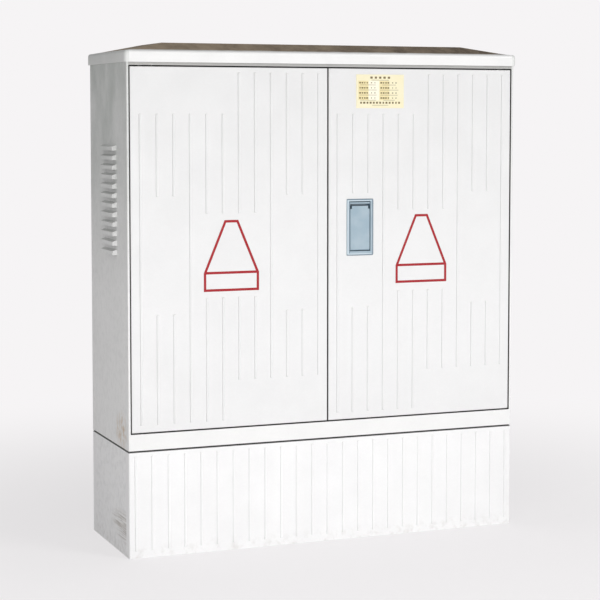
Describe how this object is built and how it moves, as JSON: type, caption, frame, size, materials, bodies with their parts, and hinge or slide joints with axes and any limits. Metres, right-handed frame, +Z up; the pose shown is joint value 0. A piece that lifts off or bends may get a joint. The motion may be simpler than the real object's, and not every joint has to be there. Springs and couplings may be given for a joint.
{
  "type": "electrical panelboard",
  "caption": "Free-standing outdoor distribution cabinet with ribbed double doors, flush lock, louvred sides, hipped roof and plinth, holding breakers and busbars.",
  "frame": {"origin": "on the floor, under the middle of the cabinet's footprint", "axes": "+Z up, +X to the right seen from the front, the doors face -Y"},
  "size_m": [1.022, 0.33, 1.203],
  "materials": {
    "polyester_moulding": "off-white moulded glass-fibre polyester, satin",
    "galvanised_steel": "zinc-coated sheet and bar",
    "plate_steel": "zinc-coated mounting sheet",
    "rubber": "black EPDM",
    "nylon": "natural nylon",
    "lock_metal": "blue-grey lacquered zinc casting",
    "copper": "bare copper bar",
    "insulator": "red-brown moulding compound",
    "breaker_case": "dark grey moulded case",
    "breaker_toggle": "light grey moulded toggle",
    "clear_guard": "clear polycarbonate sheet"
  },
  "bodies": {
    "cabinet": {"base_bolts": "galvanised_steel", "base_gasket": "rubber", "body_left": "polyester_moulding", "body_right": "polyester_moulding", "branch_breaker_case_1": "breaker_case", "branch_breaker_case_2": "breaker_case", "branch_breaker_case_3": "breaker_case", "branch_breaker_case_4": "breaker_case", "busbar_1": "copper", "busbar_2": "copper", "busbar_3": "copper", "busbar_guard": "clear_guard", "busbar_supports": "insulator", "cable_clamps": "galvanised_steel", "cable_rail": "galvanised_steel", "earth_bar": "copper", "earth_spacers": "galvanised_steel", "guard_pillars": "galvanised_steel", "head_rail": "polyester_moulding", "head_seal": "rubber", "left_door_pivots": "galvanised_steel", "main_breaker_case": "breaker_case", "mounting_plate": "plate_steel", "neutral_bar": "copper", "neutral_insulators": "insulator", "phase_1_droppers": "copper", "phase_2_droppers": "copper", "phase_3_droppers": "copper", "plate_posts": "galvanised_steel", "plinth_front": "polyester_moulding", "plinth_left": "polyester_moulding", "plinth_posts": "galvanised_steel", "plinth_rear": "polyester_moulding", "plinth_right": "polyester_moulding", "rear_panel": "polyester_moulding", "right_door_pivots": "galvanised_steel", "roof": "polyester_moulding", "roof_bolts": "galvanised_steel", "sill_rail": "polyester_moulding", "sill_seal": "rubber"},
    "left_door": {"left_door": "polyester_moulding", "left_door_bushes": "nylon", "flush_bolt_guides": "galvanised_steel"},
    "right_door": {"right_door": "polyester_moulding", "right_door_bushes": "nylon", "rod_guides": "galvanised_steel", "lock_housing": "lock_metal"},
    "upper_flush_bolt": {"upper_flush_bolt": "galvanised_steel"},
    "lower_flush_bolt": {"lower_flush_bolt": "galvanised_steel"},
    "lock_handle": {"lock_handle": "lock_metal"},
    "lock_button": {"lock_button": "lock_metal"},
    "lock_cam": {"lock_cam": "galvanised_steel"},
    "upper_lock_rod": {"upper_lock_rod": "galvanised_steel"},
    "lower_lock_rod": {"lower_lock_rod": "galvanised_steel"},
    "main_breaker_toggle": {"main_breaker_toggle": "breaker_toggle"},
    "branch_breaker_toggle_1": {"branch_breaker_toggle_1": "breaker_toggle"},
    "branch_breaker_toggle_2": {"branch_breaker_toggle_2": "breaker_toggle"},
    "branch_breaker_toggle_3": {"branch_breaker_toggle_3": "breaker_toggle"},
    "branch_breaker_toggle_4": {"branch_breaker_toggle_4": "breaker_toggle"}
  },
  "joints": [
    {"name": "left_door_swing", "type": "hinge", "parent": "cabinet", "child": "left_door", "pos_m": [-0.466, -0.149, 0.72], "axis": [0, 0, -1], "range_deg": [0, 120]},
    {"name": "right_door_swing", "type": "hinge", "parent": "cabinet", "child": "right_door", "pos_m": [0.466, -0.149, 0.72], "axis": [0, 0, 1], "range_deg": [0, 120]},
    {"name": "upper_flush_bolt_slide", "type": "slide", "parent": "left_door", "child": "upper_flush_bolt", "axis": [0, 0, -1], "range_m": [0, 0.02]},
    {"name": "lower_flush_bolt_slide", "type": "slide", "parent": "left_door", "child": "lower_flush_bolt", "axis": [0, 0, 1], "range_m": [0, 0.02]},
    {"name": "lock_button_press", "type": "slide", "parent": "right_door", "child": "lock_button", "axis": [0, 1, 0], "range_m": [0, 0.0022], "stiffness_N_per_m": 400},
    {"name": "lock_handle_swing", "type": "hinge", "parent": "right_door", "child": "lock_handle", "pos_m": [0.0835, -0.157, 0.7093], "axis": [1, 0, 0], "range_deg": [0, 60]},
    {"name": "lock_cam_turn", "type": "hinge", "parent": "right_door", "child": "lock_cam", "pos_m": [0.0835, -0.138, 0.7625], "axis": [0, 1, 0], "range_deg": [0, 36.97]},
    {"name": "upper_lock_rod_slide", "type": "slide", "parent": "right_door", "child": "upper_lock_rod", "axis": [0, 0, -1], "range_m": [0, 0.0121]},
    {"name": "lower_lock_rod_slide", "type": "slide", "parent": "right_door", "child": "lower_lock_rod", "axis": [0, 0, 1], "range_m": [0, 0.0121]},
    {"name": "main_breaker_toggle_tip", "type": "hinge", "parent": "cabinet", "child": "main_breaker_toggle", "pos_m": [-0.33, 0.021, 0.778], "axis": [1, 0, 0], "range_deg": [0, 36]},
    {"name": "branch_breaker_toggle_1_tip", "type": "hinge", "parent": "cabinet", "child": "branch_breaker_toggle_1", "pos_m": [-0.15, 0.046, 0.825], "axis": [1, 0, 0], "range_deg": [0, 36]},
    {"name": "branch_breaker_toggle_2_tip", "type": "hinge", "parent": "cabinet", "child": "branch_breaker_toggle_2", "pos_m": [-0.01, 0.046, 0.825], "axis": [1, 0, 0], "range_deg": [0, 36]},
    {"name": "branch_breaker_toggle_3_tip", "type": "hinge", "parent": "cabinet", "child": "branch_breaker_toggle_3", "pos_m": [0.13, 0.046, 0.825], "axis": [1, 0, 0], "range_deg": [0, 36]},
    {"name": "branch_breaker_toggle_4_tip", "type": "hinge", "parent": "cabinet", "child": "branch_breaker_toggle_4", "pos_m": [0.27, 0.046, 0.825], "axis": [1, 0, 0], "range_deg": [0, 36]}
  ],
  "couplings": [
    {"joint": "lock_cam_turn", "follows": "lock_handle_swing", "ratio": 0.6145},
    {"joint": "upper_lock_rod_slide", "follows": "lock_handle_swing", "m_per_rad": 0.011459},
    {"joint": "lower_lock_rod_slide", "follows": "lock_handle_swing", "m_per_rad": 0.011459}
  ]
}
